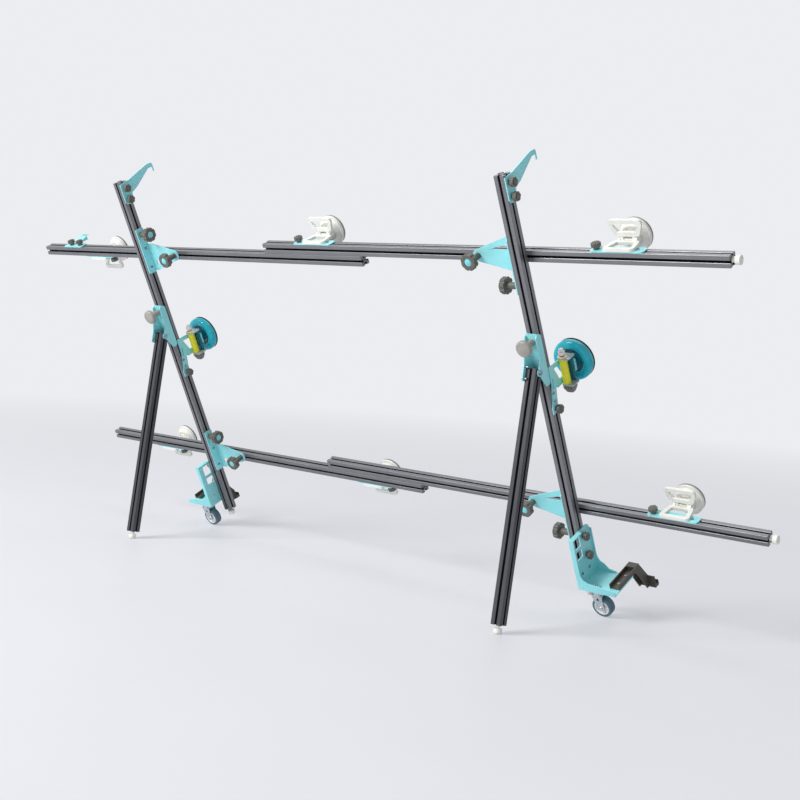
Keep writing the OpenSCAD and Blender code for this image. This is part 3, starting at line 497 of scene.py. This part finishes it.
LEG_KNOB_Y = -176.3
LEG_KNOB_Z = 1062.4
LEG_KNOB = [(0, -15), (3.7, -15), (3.7, 0.2), (11.5, 0.2), (12.5, 1.2), (13, 40), (20, 42),
            (27, 43), (29.4, 45), (30, 48), (30, 55), (29.2, 58.5), (27, 60.8), (23, 62.2),
            (21, 62.6), (20.2, 62.0), (19.2, 62.2), (14, 63.2), (7, 63.9), (0, 64)]


def leg_knob(side):
    lathe(f"{side}_leg_knob_piece", (UPRIGHT_X[side], LEG_KNOB_Y, LEG_KNOB_Z), (0, -1, 0), EX,
          LEG_KNOB, FINISH["leg_knob"], f"{side}_leg_knob_body",
          replaced=[f"{side}_leg_knob"])


# Dark moulded heads over the small fixed knobs. The lobes are their number, the head's radius,
# and the scallops' distance from the middle and radius.

SMALL_LOBES = (6, 16.3, 18.5, 4.2)
SMALL_KNOB = [(0, 0.2), (9.4, 0.2), (9.9, 0.7), (9.9, 7.4), (14.8, 7.6, True), (16.0, 8.4, True),
              (16.3, 9.4, True), (16.3, 20.6, True), (15.8, 21.6, True), (14.6, 22.2, True),
              (10.6, 22.6), (9.9, 23.4), (9.2, 24.3), (6, 24.8), (0, 25)]
FOOT_KNOBS_Z = (275, 195)
CUP_KNOB_DROP = 123           # from the cup's middle
LIFTER_KNOB_X = 85            # from the lifter's middle


def small_knob(name, centre, along, start, body):
    lathe(name, centre, along, start, SMALL_KNOB, MATERIALS["knob_plastic"], body,
          lobes=SMALL_LOBES)


def small_knobs(side):
    ux, sg = UPRIGHT_X[side], SIGN[side]
    body = f"{side}_frame"
    for k, z in enumerate(FOOT_KNOBS_Z):
        small_knob(f"{side}_foot_knob_{k}", (ux + sg * SHEET_FACE, UPRIGHT_Y, z), (sg, 0, 0),
                   EZ, body)
    small_knob(f"{side}_pump_bracket_knob",
               (ux + SHEET_FACE, UPRIGHT_Y, CUP_Z[side] - CUP_KNOB_DROP), EX, EZ, body)
    for k, (x, level) in enumerate(LIFTERS[side]):
        z = RAIL_Z[side][level] + sg * SHEET_FACE
        small_knob(f"{side}_lifter_knob_{k}", (x - sg * LIFTER_KNOB_X, RAIL_Y, z), (0, 0, sg),
                   EX, body)


# Wheels: tyre, rim with ribs, and hub, as (radius, distance along the axle)

WHEEL_TRAIL = 10
WHEEL_Z = 21
TYRE = [(29.4, -14.2), (30, -15.2), (32.5, -15.9), (36, -15.9), (38.4, -14.8), (39.7, -12),
        (40, -8), (40, 8), (39.7, 12), (38.4, 14.8), (36, 15.9), (32.5, 15.9), (30, 15.2),
        (29.4, 14.2)]
RIM = [(29.3, -14), (29, -15.6), (28.2, -16.2), (26.2, -16.2), (25.3, -15.4), (24.4, -9),
       (23, -8.4), (13.2, -8.4), (13.2, 8.4), (23, 8.4), (24.4, 9), (25.3, 15.4), (26.2, 16.2),
       (28.2, 16.2), (29, 15.6), (29.3, 14)]
HUB = [(4.05, -17), (10.6, -17), (12.2, -16.2), (13, -14.5), (13.1, 0), (13, 14.5),
       (12.2, 16.2), (10.6, 17), (4.05, 17)]
RIBS = 10
RIB_SECTIONS = ((12.6, 1.6, 13), (19, 1.1, 12), (24.6, 1.2, 11.4))    # radius, half sizes
CORNERS = ((-1, -1), (1, -1), (1, 1), (-1, 1))


def wheel(side):
    centre = (UPRIGHT_X[side] + SIGN[side] * SWIVEL_OUT + WHEEL_TRAIL, SWIVEL_Y, WHEEL_Z)
    body = f"{side}_wheel_body"
    lathe(f"{side}_tyre", centre, EY, EX, TYRE, MATERIALS["wheel_tread"], body,
          ring=True, replaced=[f"{side}_caster_wheel"], steps=FINE_STEPS)
    lathe(f"{side}_rim", centre, EY, EX, RIM, FINISH["rim"], body, ring=True,
          steps=FINE_STEPS)
    lathe(f"{side}_hub", centre, EY, EX, HUB, FINISH["hub"], body, ring=True)
    for k in range(RIBS):
        t = 2 * math.pi * k / RIBS
        out = Vector((math.cos(t), 0, math.sin(t)))
        across = Vector((-math.sin(t), 0, math.cos(t)))
        rings = []
        for r, w, h in RIB_SECTIONS:
            p = Vector(centre) + out * r
            rings.append([tuple(p + across * (w * u) + Vector(EY) * (h * v))
                          for u, v in CORNERS])
        loft(f"{side}_rim_rib_{k}", rings, FINISH["rim"], body)


# Pump cups: ring, lip, dish, cradle plates, collar, cradle back, valve block, and the plunger's
# red ring. The ring's section is a rounded square, kept between the lip and the dish's rim.

CUP_OUT = 38                  # from the upright's middle to the cup's
PUMP_OUT = 40
PUMP_DROP = 58                # from the cup's middle to the barrel's lower end
PUMP_Y = -82
RING_R = 59
RING_MIDDLE = 17.2
RING_HALF = 17
RING_SQUARENESS = 2.6
RING_SECTION_STEPS = 28
RING_LOW, RING_HIGH = 2.0, 34
RING_STEPS = 128
LIP = [(50, 3.2), (50, 1.2), (54, 0.2), (74, 0.2), (75.6, 1.2), (75.8, 3.4), (70, 5), (55, 5)]
DISH = [(0, 14), (47, 14), (47, 22), (44, 24.5), (42, 23), (40.5, 19.5), (36, 18.5),
        (34, 19.8), (32, 18.5), (27, 18.2), (25, 20), (24, 24), (23.6, 45.6), (0, 45.6)]
CRADLE_X, CRADLE_Y, CRADLE_R = (-14, 32), (-98, -50.2), 8
CRADLE_HEIGHTS = ((-5, 0), (95, 100))
BARREL_BORE = 14.1
COLLAR_Z = 100
COLLAR = [(BARREL_BORE, 0), (17.4, 0), (17.7, 0.6), (17.1, 2.4), (16, 3), (BARREL_BORE, 3)]
BACK_X, BACK_Y, BACK_R = (-10, 20), (-60, -50.3), 2
BACK_HEIGHTS = (-4.5, 99.5)
VALVE_SECTIONS = ((-5, 13.5), (-10, 14), (-18, 13), (-32, 7), (-34, 5))    # height, half width
VALVE_LONG = (14, 8)          # what the block adds along X and N
VALVE_R = 6
PUMP_RING_Z = 104
PUMP_RING = [(9.3, 0), (9.53, 0.1), (9.53, 3.9), (9.3, 4)]
MOULDED_EDGE = 0.8


def ring_section():
    """Section of the cup's ring, as (radius, height)."""
    section = []
    for k in range(RING_SECTION_STEPS):
        t = 2 * math.pi * k / RING_SECTION_STEPS
        cos, sin = math.cos(t), math.sin(t)
        power = abs(cos) ** RING_SQUARENESS + abs(sin) ** RING_SQUARENESS
        fat = RING_HALF * power ** (-1 / RING_SQUARENESS)
        height = RING_MIDDLE + fat * sin
        section.append((RING_R + fat * cos, min(max(height, RING_LOW), RING_HIGH)))
    return section


def pump_cup(side):
    x0, z0 = UPRIGHT_X[side], CUP_Z[side]
    body = f"{side}_frame"
    middle = (x0 + CUP_OUT, 0, z0)
    px, pz = x0 + PUMP_OUT, z0 - PUMP_DROP
    lathe(f"{side}_cup_ring", middle, (0, -1, 0), EX, ring_section(), MATERIALS["cup_plastic"],
          body, ring=True, replaced=[f"{side}_vacuum_cup"], steps=RING_STEPS)
    lathe(f"{side}_cup_lip", middle, (0, -1, 0), EX, LIP, FINISH["rubber"], body,
          ring=True, steps=FINE_STEPS)
    lathe(f"{side}_cup_dish", middle, (0, -1, 0), EX, DISH, FINISH["dish"], body,
          steps=FINE_STEPS)
    for k, (za, zb) in enumerate(CRADLE_HEIGHTS):
        outline = rounded_box(px + CRADLE_X[0], px + CRADLE_X[1], *CRADLE_Y, CRADLE_R)
        plate(f"{side}_cradle_plate_{k}", [outline, circle(px, PUMP_Y, BARREL_BORE)], pz + za,
              pz + zb, FINISH["plate"], body)
    lathe(f"{side}_pump_collar", (px, PUMP_Y, pz + COLLAR_Z), EZ, EX, COLLAR, FINISH["rim"],
          body, ring=True)
    back = rounded_box(px + BACK_X[0], px + BACK_X[1], *BACK_Y, BACK_R, 3)
    loft(f"{side}_cradle_back", [[(x, y, pz + z) for x, y in back] for z in BACK_HEIGHTS],
         FINISH["dish"], body, bevel=MOULDED_EDGE)
    rings = []
    for z, half in VALVE_SECTIONS:
        outline = rounded_box(px - half, px + VALVE_LONG[0] + half, PUMP_Y - half,
                              PUMP_Y + VALVE_LONG[1] + half, VALVE_R)
        rings.append([(x, y, pz + z) for x, y in outline])
    loft(f"{side}_valve_block", rings, FINISH["valve"], body,
         bevel=MOULDED_EDGE)
    lathe(f"{side}_pump_ring", (px, PUMP_Y, pz + PUMP_RING_Z), EZ, EX, PUMP_RING,
          FINISH["red"], f"{side}_plunger_body", ring=True)


for side in SIDES:
    knob_caps(side)
    leg_knob(side)
    small_knobs(side)
    wheel(side)
    pump_cup(side)


# Floor, world and lamps. The camera sees the background's colour in the world and, more and
# more with distance, on the floor; the floor's shadows near the object stay.

BACKGROUND = "ecedf1"
FLOOR_HALF = 14               # metres
FADE_SPAN = (2.0, 8.0)        # metres from the middle of the floor
FADE_NEAR = 0.35
WORLD_COLOUR = (0.93, 0.95, 1.0, 1)
WORLD_STRENGTH = 0.36


def make_floor():
    mesh = bpy.data.meshes.new("floor")
    h = FLOOR_HALF
    mesh.from_pydata([(-h, -h, 0), (h, -h, 0), (h, h, 0), (-h, h, 0)], [], [(0, 1, 2, 3)])
    floor = bpy.data.objects.new("floor", mesh)
    bpy.context.scene.collection.objects.link(floor)
    m = Nodes("pale_floor")
    m.set(Base_Color=m.mix(m.noise(1.2, 3), srgb("e2e3e8"), srgb("e8e9ed")), Roughness=0.5)
    far = m.add("ShaderNodeVectorMath", {0: m.place()}, operation="LENGTH").outputs["Value"]
    camera = m.add("ShaderNodeLightPath").outputs["Is Camera Ray"]
    fade = m.add("ShaderNodeMath", {0: m.ramp(far, FADE_SPAN, FADE_NEAR, 1.0), 1: camera},
                 operation="MULTIPLY")
    glow = m.add("ShaderNodeEmission", {"Color": srgb(BACKGROUND), "Strength": 1.0})
    both = m.add("ShaderNodeMixShader", {"Fac": fade.outputs["Value"], 1: m.shader.outputs[0],
                                         2: glow.outputs[0]})
    m.put(m.tree.nodes["Material Output"].inputs["Surface"], both.outputs[0])
    mesh.materials.append(m.material)


def make_world():
    """Soft light, and the background's colour for camera, glossy and transmission rays."""
    world = bpy.data.worlds.new("studio")
    bpy.context.scene.world = world
    world.use_nodes = True
    tree = world.node_tree
    light = tree.nodes["Background"]
    light.inputs["Color"].default_value = WORLD_COLOUR
    light.inputs["Strength"].default_value = WORLD_STRENGTH
    seen = tree.nodes.new("ShaderNodeBackground")
    seen.inputs["Color"].default_value = srgb(BACKGROUND)
    seen.inputs["Strength"].default_value = 1.0
    path = tree.nodes.new("ShaderNodeLightPath")
    mix = tree.nodes.new("ShaderNodeMixShader")
    shown = path.outputs["Is Camera Ray"]
    for ray in ("Is Glossy Ray", "Is Transmission Ray"):
        either = tree.nodes.new("ShaderNodeMath")
        either.operation = "MAXIMUM"
        tree.links.new(shown, either.inputs[0])
        tree.links.new(path.outputs[ray], either.inputs[1])
        shown = either.outputs[0]
    tree.links.new(shown, mix.inputs[0])
    tree.links.new(light.outputs[0], mix.inputs[1])
    tree.links.new(seen.outputs[0], mix.inputs[2])
    tree.links.new(mix.outputs[0], tree.nodes["World Output"].inputs["Surface"])


def area_light(name, place, target, size, power):
    data = bpy.data.lights.new(name, "AREA")
    data.shape = "RECTANGLE"
    data.size, data.size_y = size
    data.energy = power
    lamp = bpy.data.objects.new(name, data)
    lamp.location = place
    aim = Vector(target) - Vector(place)
    lamp.rotation_euler = aim.to_track_quat("-Z", "Y").to_euler()
    bpy.context.scene.collection.objects.link(lamp)


make_floor()
make_world()
area_light("key", (-3.2, -7.0, 5.8), (0, 0, 0.7), (4.2, 4.2), 770)
area_light("fill", (4.6, -1.5, 2.6), (0, 0, 0.7), (3.0, 2.2), 5)
area_light("top", (0, 1.5, 4.8), (0, -0.3, 0.6), (4.0, 2.0), 36)

bpy.context.scene.view_settings.view_transform = "Standard"
